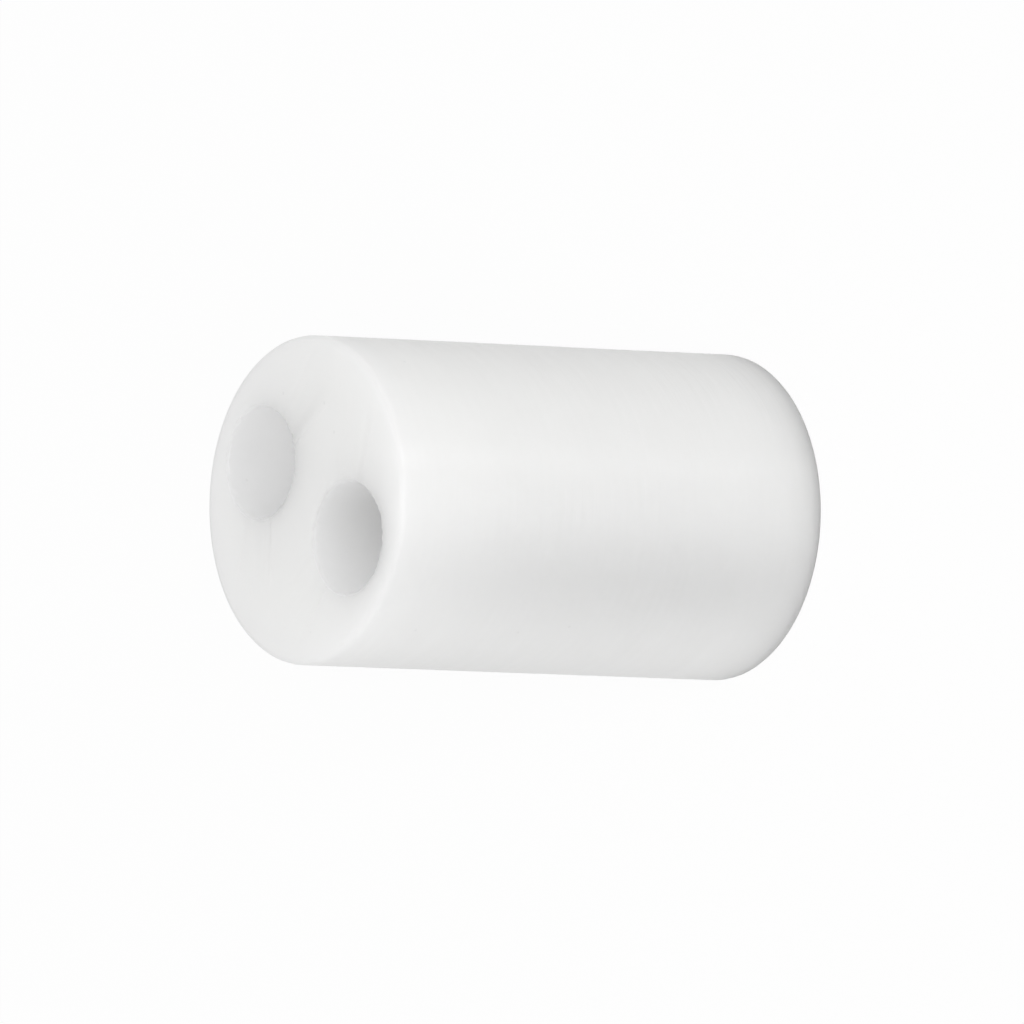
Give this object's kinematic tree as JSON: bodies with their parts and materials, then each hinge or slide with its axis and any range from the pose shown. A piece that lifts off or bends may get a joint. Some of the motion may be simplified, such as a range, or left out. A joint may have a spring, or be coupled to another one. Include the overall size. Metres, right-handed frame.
{
  "type": "led spacer sleeve",
  "caption": "Round natural nylon sleeve with lengthwise lead holes; it holds an indicator diode off its circuit board.",
  "frame": {"origin": "centre of the lower end face, on the sleeve's axis", "axes": "+Z along the sleeve's axis from the board end to the diode end; X through the axes of both lead holes"},
  "size_m": [0.005, 0.005, 0.008],
  "materials": {
    "natural_nylon": "uncoloured, slightly translucent, satin with faint marks from machining"
  },
  "bodies": {
    "root": {"spacer_sleeve": "natural_nylon"}
  },
  "joints": []
}
